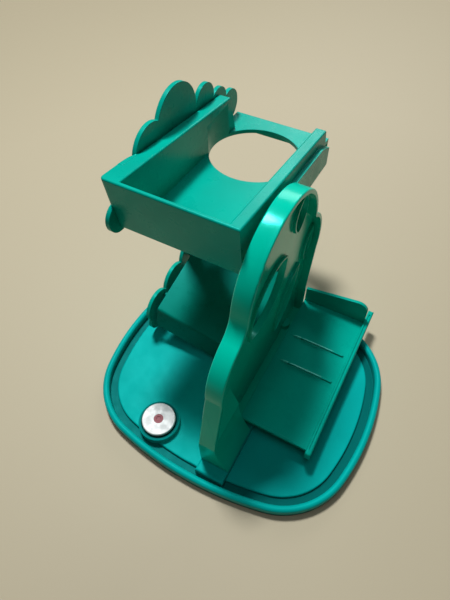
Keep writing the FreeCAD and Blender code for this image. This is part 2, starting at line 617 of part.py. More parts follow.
def make_top_tray():
    """The deep tilted tray: side walls, thin front wall, floor with the round hole, back skirt."""
    body = new_body("top_tray")
    walls = sketch_on(body, "walls", "YZ_Plane", TRAY_LEFT)
    wall_foot = "tray_wall_back + tray_wall_rake"
    add_outline(walls, [("tray_front", "tray_top"),
                        ("tray_front + tray_draft", f"{floor_height('tray_front')} - tray_floor_wall"),
                        (wall_foot, f"{floor_height(wall_foot)} - tray_floor_wall"),
                        ("tray_wall_back", wall_height("tray_wall_back"))])
    pad(body, walls, f"{TRAY_RIGHT} - {TRAY_LEFT}")
    inside = sketch_on(body, "inside", "YZ_Plane", f"{TRAY_LEFT} + tray_left_wall")
    inner_foot = "tray_front + tray_draft + tray_front_wall"
    add_outline(inside, [("tray_front + tray_front_wall", "tray_top"),
                         (inner_foot, floor_height(inner_foot)),
                         ("tray_back", floor_height("tray_back")),
                         ("tray_back", "tray_top")])
    pocket(body, inside, f"{TRAY_RIGHT} - {TRAY_LEFT} - tray_left_wall - tray_right_wall", forward=True)
    add_corner(body)
    end = sketch_on(body, "right_wall_end", "YZ_Plane", TRAY_RIGHT)
    end_foot = "tray_right_wall_back + tray_wall_rake"
    add_outline(end, [(end_foot, f"{floor_height('tray_back')} - tray_skirt"),
                      (f"{wall_foot} + tray_wall_rake", f"{floor_height('tray_back')} - tray_skirt"),
                      (f"{wall_foot} + tray_wall_rake", "tray_top"),
                      ("tray_right_wall_back", "tray_top"),
                      ("tray_right_wall_back", wall_height("tray_right_wall_back")),
                      (end_foot, f"{floor_height(end_foot)} - tray_floor_wall")])
    pocket(body, end, "tray_right_wall")
    apron = sketch_on(body, "apron", "YZ_Plane", TRAY_LEFT)
    lip = "tray_back - tray_skirt_wall"
    start = "tray_wall_back - tray_wall_rake"
    add_outline(apron, [(start, floor_height(start)),
                        (start, f"{floor_height(start)} - tray_floor_wall"),
                        (lip, f"{floor_height(lip)} - tray_floor_wall"),
                        (lip, f"{floor_height('tray_back')} - tray_skirt"),
                        ("tray_back", f"{floor_height('tray_back')} - tray_skirt"),
                        ("tray_back", floor_height("tray_back"))])
    pad(body, apron, f"{TRAY_RIGHT} - {TRAY_LEFT} - tray_right_wall")
    hole = sketch_on(body, "hole", "XY_Plane", "hole_bite_top", HOLE)
    add_circle(hole, "hole_radius")
    pocket(body, hole, "hole_bite_top - flange_bottom + tray_skirt * 2")
    flange = sketch_on(body, "flange", "YZ_Plane", TRAY_RIGHT)
    add_outline(flange, [("flange_front", "flange_bottom + flange_height"),
                         ("flange_front", "flange_bottom"),
                         ("flange_back", "flange_bottom - flange_fall"),
                         ("flange_back", "flange_bottom - flange_fall + flange_height"),
                         ("flange_back - flange_height", "flange_bottom + flange_height"),
                         ("flange_pin_y + flange_pin_step_y",
                          "flange_pin_z + flange_pin_step_z + flange_height / 3")])
    pad(body, flange, "flange_depth")
    for number, place in enumerate(FLANGE_PINS):
        pin = sketch_on(body, f"flange_pin_{number}", "YZ_Plane", "panel_left", place)
        add_circle(pin, "pin_radius")
        pad(body, pin, "panel_back_recess - pin_gap")
    for number, place in enumerate(PLATE_PINS):
        pin = sketch_on(body, f"plate_pin_{number}", "YZ_Plane", TRAY_LEFT, place)
        add_circle(pin, "pin_radius")
        pad(body, pin, "tray_gap + plate_depth - seat_gap", back=True)
    return body


def add_corner(body):
    """The rounded front left corner that reaches past the left tree panel, and soft wall tops."""
    corner = sketch_on(body, "corner", "YZ_Plane", TRAY_LEFT)
    face_height = f"(tray_top - {floor_height('tray_front')} + tray_floor_wall)"
    foot = f"tray_front + tray_draft * (tray_top - corner_bottom) / {face_height}"
    add_outline(corner, [("tray_front", "tray_top"), (foot, "corner_bottom"),
                         ("corner_back", "corner_bottom"), ("corner_back", wall_height("corner_back"))])
    pad(body, corner, "tray_gap + plate_depth", back=True)
    outer = size(PLATE_LEFT)
    front = size("tray_front + tray_draft") + 0.1
    round_edges(body, "corner_round", "corner_round",
                lambda edge: at_level(edge, 0, outer) and edge.BoundBox.YMax < front)
    slope = math.tan(math.radians(size("tray_slope_deg")))
    top = size("tray_top") + size("tray_front") * slope
    round_edges(body, "wall_tops", "tray_edge_round",
                lambda edge: all(abs(point.z - top + point.y * slope) < 0.01
                                 for point in edge.discretize(5)))


def make_deck():
    """The deck that falls to the right and rises to the back: front face, back stop, four pins."""
    body = new_body("middle_ramp")
    side = sketch_on(body, "side", "YZ_Plane", DECK_LEFT)
    nose = "deck_front + deck_nose_lean"
    nose_foot = "deck_nose_top - deck_nose_height"
    back_top = deck_height("deck_back")
    add_outline(side, [(nose, deck_height(nose)),
                       ("deck_front", nose_foot),
                       ("deck_front + deck_wall", nose_foot),
                       (f"{nose} + deck_wall", f"{deck_height(nose)} - deck_wall"),
                       ("deck_back", f"{back_top} - deck_wall"),
                       ("deck_back", f"{back_top} + deck_stop_height"),
                       ("deck_back - deck_wall", f"{back_top} + deck_stop_height"),
                       ("deck_back - deck_wall", deck_height("deck_back - deck_wall"))])
    slab = pad(body, side, f"{DECK_RIGHT} - {DECK_LEFT}")
    slab.UseCustomVector = True
    slab.Direction = Vector(1, 0, -math.tan(math.radians(size("deck_fall_deg"))))
    slab.AlongSketchNormal = True
    round_edges(body, "nose", "deck_wall * 0.9", lambda edge: at_level(edge, 1, size(nose)))
    for number, y in enumerate(DECK_PINS_Y):
        for hand, level, inner, drop in (("left", DECK_LEFT, DECK_LEFT, "0"),
                                         ("right", DECK_RIGHT, f"{DECK_RIGHT} - deck_wall", DECK_DROP)):
            place = deck_pin(y, drop)
            web = "pin_radius * 1.6"
            lug = sketch_on(body, f"lug_{hand}_{number}", "YZ_Plane", inner)
            add_outline(lug, box_points(f"{place[0]} - {web}", f"{place[0]} + {web}",
                                        f"{place[1]} - {web}", f"{deck_height(y)} - {drop} - deck_wall / 2"))
            pad(body, lug, "deck_wall")
            pin = sketch_on(body, f"pin_{hand}_{number}", "YZ_Plane", level, place)
            add_circle(pin, "pin_radius")
            left = hand == "left"
            pad(body, pin, "deck_left_gap + plate_depth - seat_gap" if left else "deck_wall", back=left)
    return body


def make_side_tray():
    """The low tray beside the right panel: floor, rail, two ribs, leaning back wall, lugs."""
    body = new_body("side_tray")
    under = "(shelf_floor_top - shelf_floor_wall)"
    floor = sketch_on(body, "floor", "XY_Plane", under)
    inner = f"({SIDE_RIGHT} - rail_width)"
    add_outline(floor, box_points("shelf_left", inner, "shelf_front", "shelf_back"))
    pad(body, floor, "shelf_floor_wall")
    lip = sketch_on(body, "lip", "YZ_Plane", "shelf_left")
    add_outline(lip, box_points("shelf_front - shelf_rib_width", "shelf_front",
                                under, "shelf_floor_top + shelf_rib_height / 2"))
    pad(body, lip, f"{inner} - shelf_left")
    rail = sketch_on(body, "rail", "YZ_Plane", SIDE_RIGHT)
    add_outline(rail, box_points("shelf_rail_front", "shelf_rail_back", "rail_bottom", "rail_top"))
    pad(body, rail, "rail_width", back=True)
    top, front = size("rail_top"), size("shelf_rail_front")
    round_edges(body, "rail_edge", "rail_width * 0.3",
                lambda edge: at_level(edge, 2, top) or at_level(edge, 1, front))
    channel = sketch_on(body, "rail_channel", "XY_Plane", "rail_top")
    middle = f"{SIDE_RIGHT} - rail_width / 2"
    add_outline(channel, box_points(f"{middle} - rail_channel_width / 2",
                                    f"{middle} + rail_channel_width / 2",
                                    "shelf_rail_front + rail_width", "shelf_rail_back - rail_width"))
    pocket(body, channel, "rail_channel_depth")
    for name in ("front", "back"):
        middle = f"shelf_rib_{name}_y"
        rib = sketch_on(body, f"rib_{name}", "XY_Plane", under)
        add_outline(rib, box_points("shelf_rib_start", "shelf_rib_start + shelf_rib_reach",
                                    f"{middle} - shelf_rib_width / 2", f"{middle} + shelf_rib_width / 2"))
        pad(body, rib, "shelf_floor_wall + shelf_rib_height")
    add_back_wall(body, inner, under)
    for number, x in enumerate(("shelf_left + shelf_width * 0.3", "shelf_left + shelf_width * 0.85")):
        for place, y in enumerate(("shelf_front + shelf_lug_length", "shelf_back - shelf_lug_length * 3")):
            lug = sketch_on(body, f"lug_{number}_{place}", "XY_Plane", "floor_top")
            add_outline(lug, box_points(f"{x} - shelf_lug_width / 2", f"{x} + shelf_lug_width / 2",
                                        y, f"{y} + shelf_lug_length"))
            pad(body, lug, f"{under} + shelf_floor_wall / 2 - floor_top")
    return body


def add_back_wall(body, inner, under):
    """The back wall, whose top rises to the right and turns down in a round corner."""
    wall = sketch_on(body, "back_wall", "XZ_Plane", "0 - shelf_back")
    add_outline(wall, [("shelf_left", under), (inner, under), (inner, "shelf_wall_right_top"),
                       ("shelf_left", "shelf_wall_left_top")])
    pad(body, wall, "shelf_wall_plate", back=True)
    top, right = size("shelf_wall_right_top"), size(inner)
    round_edges(body, "wall_corner", "shelf_wall_corner",
                lambda edge: at_level(edge, 2, top) and at_level(edge, 0, right))


def make_disc():
    """The metal disc with its stem and the groove that takes the clip."""
    body = new_body("press_disc")
    plate = sketch_on(body, "plate", "XY_Plane", "disc_top - disc_plate", BOSS)
    add_circle(plate, "boss_radius - boss_wall - disc_gap")
    pad(body, plate, "disc_plate")
    round_edges(body, "edge", "disc_plate * 0.3", lambda edge: at_level(edge, 2, size("disc_top")))
    stem = sketch_on(body, "stem", "XY_Plane", "stem_end", BOSS)
    add_circle(stem, "stem_radius")
    pad(body, stem, "disc_top - disc_plate - stem_end")
    seat = sketch_on(body, "seat", "XY_Plane", "disc_top", BOSS)
    add_circle(seat, "disc_cap_radius")
    pocket(body, seat, "disc_cap_depth")
    groove = sketch_on(body, "groove", "XY_Plane", CLIP_TOP, BOSS)
    add_circle(groove, "clip_radius")
    add_circle(groove, "stem_radius - clip_groove")
    pocket(body, groove, "clip_plate")
    return body


def make_cap():
    """The red cap that sits in the disc, with a small dimple."""
    body = new_body("disc_cap")
    cap = sketch_on(body, "cap", "XY_Plane", "disc_top - disc_cap_depth", BOSS)
    add_circle(cap, "disc_cap_radius")
    pad(body, cap, "disc_cap_depth * 0.8")
    dimple = sketch_on(body, "dimple", "XY_Plane", "disc_top", BOSS)
    add_circle(dimple, "disc_cap_radius * 0.5")
    pocket(body, dimple, "disc_cap_depth * 0.5")
    return body


def make_clip():
    """The retaining clip on the stem, open on one side."""
    body = new_body("disc_clip")
    ring = sketch_on(body, "ring", "XY_Plane", CLIP_TOP, BOSS)
    add_circle(ring, "clip_radius")
    add_circle(ring, "stem_radius - clip_groove")
    pad(body, ring, "clip_plate", back=True)
    mouth = sketch_on(body, "mouth", "XY_Plane", CLIP_TOP, BOSS)
    add_outline(mouth, box_points("0", "clip_radius * 1.2", "0 - stem_radius * 0.6", "stem_radius * 0.6"))
    pocket(body, mouth, "clip_plate")
    return body


def make_spring():
    """The coil spring round the stem, of eight-sided wire, between the raised floor and the disc."""
    wire = size("spring_wire")
    low = size("floor_top") + size("spring_gap") / 3 + wire
    high = size("disc_top") - size("disc_plate") - size("spring_gap") / 3 - wire
    radius = size("spring_radius")
    coil = Part.makeHelix((high - low) / size("spring_turns"), high - low, radius)
    corners = [Vector(radius + wire * math.cos(turn * math.pi / 4), 0, wire * math.sin(turn * math.pi / 4))
               for turn in range(9)]
    section = Part.makePolygon(corners)
    spring = doc.addObject("Part::Feature", "disc_spring")
    spring.Label = "disc_spring"
    spring.Shape = Part.Wire(coil).makePipeShell([section], True, True)
    spring.Placement = Placement(Vector(size(BOSS[0]), size(BOSS[1]), low), Rotation())
    return spring


def screw_shape(point, direction):
    """One pan-head screw: a shank from the point and a domed head behind it."""
    shank = Part.makeCylinder(size("screw_radius"), size("screw_length"), point, direction)
    height = size("screw_head_height")
    head = Part.makeCylinder(size("screw_head_radius"), height, point - direction * height, direction)
    return shank.fuse(head).removeSplitter()


def make_base_screws():
    """The screws that hold the right panel's foot from below, equal and in one node."""
    level = size("groove_floor")
    middle = size(PANEL_MIDDLE)
    up = Vector(0, 0, 1)
    screws = doc.addObject("Part::Feature", "base_screws")
    screws.Label = "base_screws"
    screws.Shape = Part.makeCompound([screw_shape(Vector(middle, size(y), level), up)
                                      for y in BASE_SCREWS])
    screws.Placement = Placement()
    return screws


def write_parts(parts):
    """Check every object and every sub-part, then write one file for each sub-part."""
    doc.recompute()
    for item in doc.Objects:
        if "Invalid" in item.State or "Error" in item.State:
            raise RuntimeError(f"{item.Name} failed: {item.State}")
    for part in parts:
        if part.Shape.isNull() or not part.Shape.isValid() or not part.Shape.Solids:
            raise RuntimeError(f"{part.Label} has no valid shape")
    os.makedirs("parts", exist_ok=True)
    for part in parts:
        part.Shape.exportStep(f"parts/{part.Label}.step")
        print(part.Label, len(part.Shape.Solids), round(part.Shape.Volume))


fill_sheet()
write_parts([make_base(), make_right_panel(), make_left_panel(), make_top_tray(), make_deck(),
             make_side_tray(), make_disc(), make_cap(), make_clip(), make_spring(),
             make_base_screws()])
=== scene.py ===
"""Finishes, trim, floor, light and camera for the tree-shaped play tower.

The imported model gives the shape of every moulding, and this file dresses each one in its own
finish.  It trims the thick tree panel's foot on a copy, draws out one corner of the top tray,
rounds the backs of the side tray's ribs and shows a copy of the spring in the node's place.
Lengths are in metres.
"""
import logging
import math
from dataclasses import dataclass
from enum import Enum

import bmesh
import bpy
import numpy as np
from mathutils import Matrix, Vector


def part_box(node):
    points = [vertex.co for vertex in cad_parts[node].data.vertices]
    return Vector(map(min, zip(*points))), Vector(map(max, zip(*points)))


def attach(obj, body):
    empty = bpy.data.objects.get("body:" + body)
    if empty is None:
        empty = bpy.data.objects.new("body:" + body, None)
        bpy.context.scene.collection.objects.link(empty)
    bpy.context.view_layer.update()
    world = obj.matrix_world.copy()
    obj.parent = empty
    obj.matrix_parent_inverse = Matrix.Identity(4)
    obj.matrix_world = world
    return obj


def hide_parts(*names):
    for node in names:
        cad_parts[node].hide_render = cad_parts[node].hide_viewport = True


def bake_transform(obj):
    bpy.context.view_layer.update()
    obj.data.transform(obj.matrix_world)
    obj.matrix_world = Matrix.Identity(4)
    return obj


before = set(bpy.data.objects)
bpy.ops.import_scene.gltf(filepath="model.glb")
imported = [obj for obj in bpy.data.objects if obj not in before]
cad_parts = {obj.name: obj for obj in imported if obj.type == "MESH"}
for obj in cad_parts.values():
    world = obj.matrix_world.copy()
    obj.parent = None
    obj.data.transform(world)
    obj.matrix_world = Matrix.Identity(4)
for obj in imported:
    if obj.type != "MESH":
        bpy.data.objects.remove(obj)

LOG = logging.getLogger("play_tower")
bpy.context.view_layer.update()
SAME_SPOT = 1e-6  # corners of a node's loose triangles that lie closer are one corner

Band = tuple[float, float]
Point = tuple[float, float, float]
Colour = tuple[float, float, float]

RISING: Band = (0.0, 1.0)
FALLING: Band = (1.0, 0.0)

WHITE: Colour = (1.0, 1.0, 1.0)
GREEN: Colour = (0.0, 0.40, 0.31)
BASE_GREEN: Colour = (0.0, 0.39, 0.36)
PANEL_GREEN: Colour = (0.0, 0.58, 0.41)
# the trays' green at about half brightness: painted shade of the top tray over the deck
DECK_PAINTED_SHADE_GREEN: Colour = (0.0, 0.21, 0.155)
# lighter than the trays' green: painted highlight along the ribs' rounded tops
RIB_HIGHLIGHT_GREEN: Colour = (0.10, 0.78, 0.68)
CAP_RED: Colour = (0.36, 0.09, 0.11)
PLATE_METAL: Colour = (0.76, 0.79, 0.79)
WIRE_STEEL: Colour = (0.45, 0.45, 0.46)


@dataclass(frozen=True)
class Noise:
    """A noise pattern: cycles per metre and octaves."""

    scale: float
    octaves: float


@dataclass(frozen=True)
class GrainSizes:
    """What one mould grain gives to the finish: roughness, its spread, the marks and their depth."""

    roughness: float
    spread: float
    marks: Noise
    depth: float


class Grain(Enum):
    """How the mould's steel was finished, which the plastic copies."""

    POLISHED = GrainSizes(0.18, 0.05, Noise(900.0, 2.0), 0.00002)
    SATIN = GrainSizes(0.30, 0.08, Noise(1400.0, 2.0), 0.00003)
    SPARKED = GrainSizes(0.42, 0.08, Noise(2200.0, 2.0), 0.00005)


class NodeSheet:
    """A material's node tree with short ways to add and join nodes."""

    def __init__(self, name: str) -> None:
        """Make a material with a principled shader.

        Args:
            name: Name of the material.
        """
        self.material = bpy.data.materials.new(name)
        self.material.use_nodes = True
        self.tree = self.material.node_tree
        self.shader = self.tree.nodes["Principled BSDF"]

    def add(self, kind: str, **values: object) -> bpy.types.Node:
        """Add a node and set its properties.

        Args:
            kind: Blender's name of the node type.
            values: Properties of the node.

        Returns:
            The new node.
        """
        node = self.tree.nodes.new(kind)
        for key, value in values.items():
            setattr(node, key, value)
        return node

    def join(self, source: bpy.types.NodeSocket, target: bpy.types.NodeSocket) -> None:
        """Join two sockets."""
        self.tree.links.new(source, target)

    def place(self) -> bpy.types.NodeSocket:
        """Return the object coordinates' socket."""
        return self.add("ShaderNodeTexCoord").outputs["Object"]

    def centred(self, centre: tuple[float, float], rise: float) -> bpy.types.NodeSocket:
        """Move the object coordinates so that an upright axis runs through the origin.

        Args:
            centre: X and Y of the axis.
            rise: Factor on z, which 0 flattens.

        Returns:
            The moved coordinates' socket.
        """
        shift = self.add("ShaderNodeMapping")
        shift.inputs["Location"].default_value = (-centre[0], -centre[1], 0.0)
        shift.inputs["Scale"].default_value = (1.0, 1.0, rise)
        self.join(self.place(), shift.inputs["Vector"])
        return shift.outputs["Vector"]

    def distance(self, spot: bpy.types.NodeSocket) -> bpy.types.NodeSocket:
        """Measure how far a point lies from the origin.

        Args:
            spot: The point's socket.

        Returns:
            The distance's socket.
        """
        length = self.add("ShaderNodeVectorMath", operation="LENGTH")
        self.join(spot, length.inputs[0])
        return length.outputs["Value"]

    def noise(self, pattern: Noise) -> bpy.types.NodeSocket:
        """Add noise on object coordinates.

        Args:
            pattern: Scale and octaves.

        Returns:
            The socket of the noise, from 0 to 1.
        """
        noise = self.add("ShaderNodeTexNoise")
        noise.inputs["Scale"].default_value = pattern.scale
        noise.inputs["Detail"].default_value = pattern.octaves
        self.join(self.place(), noise.inputs["Vector"])
        return noise.outputs["Fac"]

    def ramp(self, source: bpy.types.NodeSocket, band: Band, result: Band) -> bpy.types.NodeSocket:
        """Map a value from one band to another, held at both ends.

        Args:
            source: Socket to read.
            band: Values at which the result starts and stops changing.
            result: Results at those two values.

        Returns:
            The result's socket.
        """
        spread = self.add("ShaderNodeMapRange")
        for name, value in zip(("From Min", "From Max", "To Min", "To Max"), (*band, *result)):
            spread.inputs[name].default_value = value
        self.join(source, spread.inputs["Value"])
        return spread.outputs["Result"]

    def mix(self, share: bpy.types.NodeSocket, first: Colour | bpy.types.NodeSocket,
            second: Colour) -> bpy.types.NodeSocket:
        """Blend two colours by a share.

        Args:
            share: Socket from 0, all first, to 1, all second.
            first: Linear colour, or the socket of one.
            second: Linear colour.

        Returns:
            The blended colour's socket.
        """
        blend = self.add("ShaderNodeMix", data_type="RGBA")
        if isinstance(first, bpy.types.NodeSocket):
            self.join(first, blend.inputs["A"])
        else:
            blend.inputs["A"].default_value = (*first, 1.0)
        blend.inputs["B"].default_value = (*second, 1.0)
        self.join(share, blend.inputs["Factor"])
        return blend.outputs["Result"]

    def bump(self, height: bpy.types.NodeSocket, depth: float, edge: float = 0.0) -> None:
        """Raise the surface by a height field, over edges that catch the light as if rounded.

        Args:
            height: Socket from 0 to 1.
            depth: Metres at height 1.
            edge: Radius of the rounded edges, none at 0.
        """
        bump = self.add("ShaderNodeBump")
        if edge > 0.0:
            rounded = self.add("ShaderNodeBevel", samples=6)
            rounded.inputs["Radius"].default_value = edge
            self.join(rounded.outputs["Normal"], bump.inputs["Normal"])
        bump.inputs["Strength"].default_value = 1.0
        bump.inputs["Distance"].default_value = depth
        self.join(height, bump.inputs["Height"])
        self.join(bump.outputs["Normal"], self.shader.inputs["Normal"])


@dataclass(frozen=True)
class PaintedShade:
    """Painted shade: a groove and one round well's mouth, darkened in the colour."""

    groove: Band  # heights of full painted shade and of none
    axis: tuple[float, float]  # x and y of the well's axis
    mouth: Band  # distances from the axis of full painted shade and of none
    shade: float = 0.30  # share of the colour that full painted shade leaves


@dataclass(frozen=True)
class MouldedPlastic:
    """Coloured moulded plastic: even colour with slow flow marks, fine grain, a soft gloss and any
    painted shade.
    """

    name: str
    colour: Colour
    grain: Grain = Grain.SATIN
    gloss: float = 0.25
    sheen: Colour = (0.05, 1.0, 0.95)
    # painted shade in a groove and a well's mouth, if any
    hollows: PaintedShade | None = None
    flow: Noise = Noise(28.0, 2.0)
    flow_band: Band = (0.3, 0.7)
    flow_drift: float = 0.08  # how far the colour drifts each way
    handling: Noise = Noise(120.0, 4.0)
    handling_band: Band = (0.35, 0.65)
    edge: float = 0.0007
    refraction: float = 1.49

    def build(self) -> bpy.types.Material:
        """Make the material.

        Returns:
            The finished material.
        """
        sizes = self.grain.value
        sheet = NodeSheet(self.name)
        darker = tuple(channel * (1.0 - self.flow_drift) for channel in self.colour)
        lighter = tuple(min(channel * (1.0 + self.flow_drift), 1.0) for channel in self.colour)
        tone = sheet.mix(sheet.ramp(sheet.noise(self.flow), self.flow_band, RISING), darker, lighter)
        # paint shade into the groove and the well's mouth
        if self.hollows:
            tone = self.paint_shade_in_hollows(sheet, tone)
        sheet.join(tone, sheet.shader.inputs["Base Color"])
        half = sizes.spread / 2
        rough = sheet.ramp(sheet.noise(self.handling), self.handling_band,
                           (sizes.roughness - half, sizes.roughness + half))
        sheet.join(rough, sheet.shader.inputs["Roughness"])
        sheet.bump(sheet.noise(sizes.marks), sizes.depth, self.edge)
        sheet.shader.inputs["IOR"].default_value = self.refraction
        sheet.shader.inputs["Specular IOR Level"].default_value = self.gloss
        sheet.shader.inputs["Specular Tint"].default_value = (*self.sheen, 1.0)
        return sheet.material

    def paint_shade_in_hollows(self, sheet: NodeSheet, tone: bpy.types.NodeSocket) -> bpy.types.NodeSocket:
        """Paint shade into the colour in the groove and in the well's mouth.

        The share of painted shade is the greater of two ramps: one of the height, which falls from
        the groove's floor, and one of the distance from the well's axis, which falls over a narrow
        ring.

        Args:
            sheet: The material's nodes.
            tone: Colour outside the painted shade.

        Returns:
            The socket of the colour with painted shade.
        """
        parts = sheet.add("ShaderNodeSeparateXYZ")
        sheet.join(sheet.place(), parts.inputs["Vector"])
        away = sheet.distance(sheet.centred(self.hollows.axis, 0.0))
        most = sheet.add("ShaderNodeMath", operation="MAXIMUM")
        sheet.join(sheet.ramp(parts.outputs["Z"], self.hollows.groove, FALLING), most.inputs[0])
        sheet.join(sheet.ramp(away, self.hollows.mouth, FALLING), most.inputs[1])
        # colour of the full painted shade
        shaded = tuple(channel * self.hollows.shade for channel in self.colour)
        return sheet.mix(most.outputs["Value"], tone, shaded)


@dataclass(frozen=True)
class SpunMetal:
    """Pale metal with faint turning rings round a centre and light wear."""

    name: str
    colour: Colour
    centre: tuple[float, float]
    roughness: float
    metallic: float = 1.0
    rings: float = 700.0
    ring_wobble: float = 1.2
    ring_depth: float = 0.00001
    wear: Noise = Noise(260.0, 3.0)
    rough_band: Band = (0.35, 0.65)
    rough_drift: Band = (-0.06, 0.08)
    dull_band: Band = (0.4, 0.6)
    dull_share: float = 0.9

    def build(self) -> bpy.types.Material:
        """Make the material.

        The rings are a wave of the distance from the centre, which a Mapping node brings to the
        origin.

        Returns:
            The finished material.
        """
        sheet = NodeSheet(self.name)
        rings = sheet.add("ShaderNodeTexWave", wave_type="RINGS", rings_direction="Z")
        rings.inputs["Scale"].default_value = self.rings
        rings.inputs["Distortion"].default_value = self.ring_wobble
        sheet.join(sheet.centred(self.centre, 1.0), rings.inputs["Vector"])
        sheet.bump(rings.outputs["Fac"], self.ring_depth)
        wear = sheet.noise(self.wear)
        roughest = (self.roughness + self.rough_drift[0], self.roughness + self.rough_drift[1])
        rough = sheet.ramp(wear, self.rough_band, roughest)
        sheet.join(rough, sheet.shader.inputs["Roughness"])
        dull = tuple(channel * self.dull_share for channel in self.colour)
        tone = sheet.mix(sheet.ramp(wear, self.dull_band, RISING), self.colour, dull)
        sheet.join(tone, sheet.shader.inputs["Base Color"])
        sheet.shader.inputs["Metallic"].default_value = self.metallic
        return sheet.material


def add_object(name: str, data: bpy.types.ID) -> bpy.types.Object:
    """Make an object at the origin and link it to the scene.

    Args:
        name: Name of the object.
        data: Its mesh, lamp or camera.

    Returns:
        The object.
    """
    made = bpy.data.objects.new(name, data)
    bpy.context.scene.collection.objects.link(made)
    return made


def dress_node(node: str, material: bpy.types.Material) -> None:
    """Put one material on a CAD node.

    Args:
        node: Name of the node.
        material: Its finish.
    """
    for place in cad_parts[node].material_slots:
        place.material = material
    LOG.info("dressed %s in %s", node, material.name)


def fix_to_tower(piece: bpy.types.Object, material: bpy.types.Material) -> None:
    """Dress a green piece and let it stand on the tower.

    Args:
        piece: The piece.
        material: Its finish.
    """
    piece.data.materials.clear()
    piece.data.materials.append(material)
    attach(piece, "tower")
    LOG.info("fixed %s in %s", piece.name, material.name)


def merged_copy(node: str) -> bpy.types.Object:
    """Copy a CAD node with its loose triangles joined at their shared corners.

    Args:
        node: Name of the node.

    Returns:
        The copy, linked to the scene.
    """
    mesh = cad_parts[node].data.copy()
    work = bmesh.new()
    work.from_mesh(mesh)
    bmesh.ops.remove_doubles(work, verts=work.verts, dist=SAME_SPOT)
    work.to_mesh(mesh)
    work.free()
    return add_object(f"{node}_shown", mesh)


def mesh_from_grid(name: str, points: np.ndarray) -> bpy.types.Object:
    """Make a closed skin from a grid whose rows are rings of points.

    Quads join ring i to ring i + 1 and wrap round, and the two end rings are each closed by
    triangles to the ring's middle point.

    Args:
        name: Name of the object.
        points: Array of rings x points x 3, in metres.

    Returns:
        The object, linked to the scene.
    """
    rings, across, _ = points.shape
    poles = np.stack([points[0].mean(axis=0), points[-1].mean(axis=0)])
    spots = np.concatenate([points.reshape(-1, 3), poles])
    row, column = np.meshgrid(np.arange(rings - 1), np.arange(across), indexing="ij")
    here, beside = row * across + column, row * across + (column + 1) % across
    quads = np.stack([here, beside, beside + across, here + across], axis=-1).reshape(-1, 4)
    around = np.arange(across)
    after = (around + 1) % across
    last = (rings - 1) * across
    first_pole, last_pole = (np.full(across, rings * across + pole) for pole in (0, 1))
    caps = np.concatenate([np.stack([first_pole, after, around], axis=-1),
                           np.stack([last_pole, last + around, last + after], axis=-1)])
    mesh = bpy.data.meshes.new(name)
    mesh.from_pydata(spots.tolist(), [], quads.tolist() + caps.tolist())
    mesh.shade_smooth()
    return add_object(name, mesh)


@dataclass
class Mouldings:
    """The green mouldings that keep their shape, each dressed in its own finish."""

    # heights of full painted shade and of none in the base's groove
    groove: Band = (0.0030, 0.0042)
    mouth_gap: float = 0.0022  # from the disc's edge to the end of full painted shade in the well's mouth
    mouth_ring: float = 0.0003  # width of the ring over which that painted shade ends

    def base_painted_shade(self) -> PaintedShade:
        """Find where shade is painted: the base's groove and the mouth of the well that the disc sits
        in.

        Returns:
            The places of painted shade.
        """
        low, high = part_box("press_disc")
        axis = ((low[0] + high[0]) / 2, (low[1] + high[1]) / 2)
        mouth = (high[0] - low[0]) / 2 + self.mouth_gap
        return PaintedShade(self.groove, axis, (mouth, mouth + self.mouth_ring))

    def dress(self) -> None:
        """Give each moulding its finish."""
        base = MouldedPlastic("base_green_painted_shade", BASE_GREEN, Grain.SPARKED, hollows=self.base_painted_shade())
        dress_node("base_tray", base.build())
        # the deck's darker green is painted shade of the top tray over it
        for node, name, colour in (("left_tree_panel", "tree_plate_green", GREEN),
                                   ("top_tray", "tray_green", GREEN),
                                   ("middle_ramp", "deck_painted_shade_green", DECK_PAINTED_SHADE_GREEN),
                                   ("side_tray", "side_tray_green", GREEN)):
            dress_node(node, MouldedPlastic(name, colour).build())


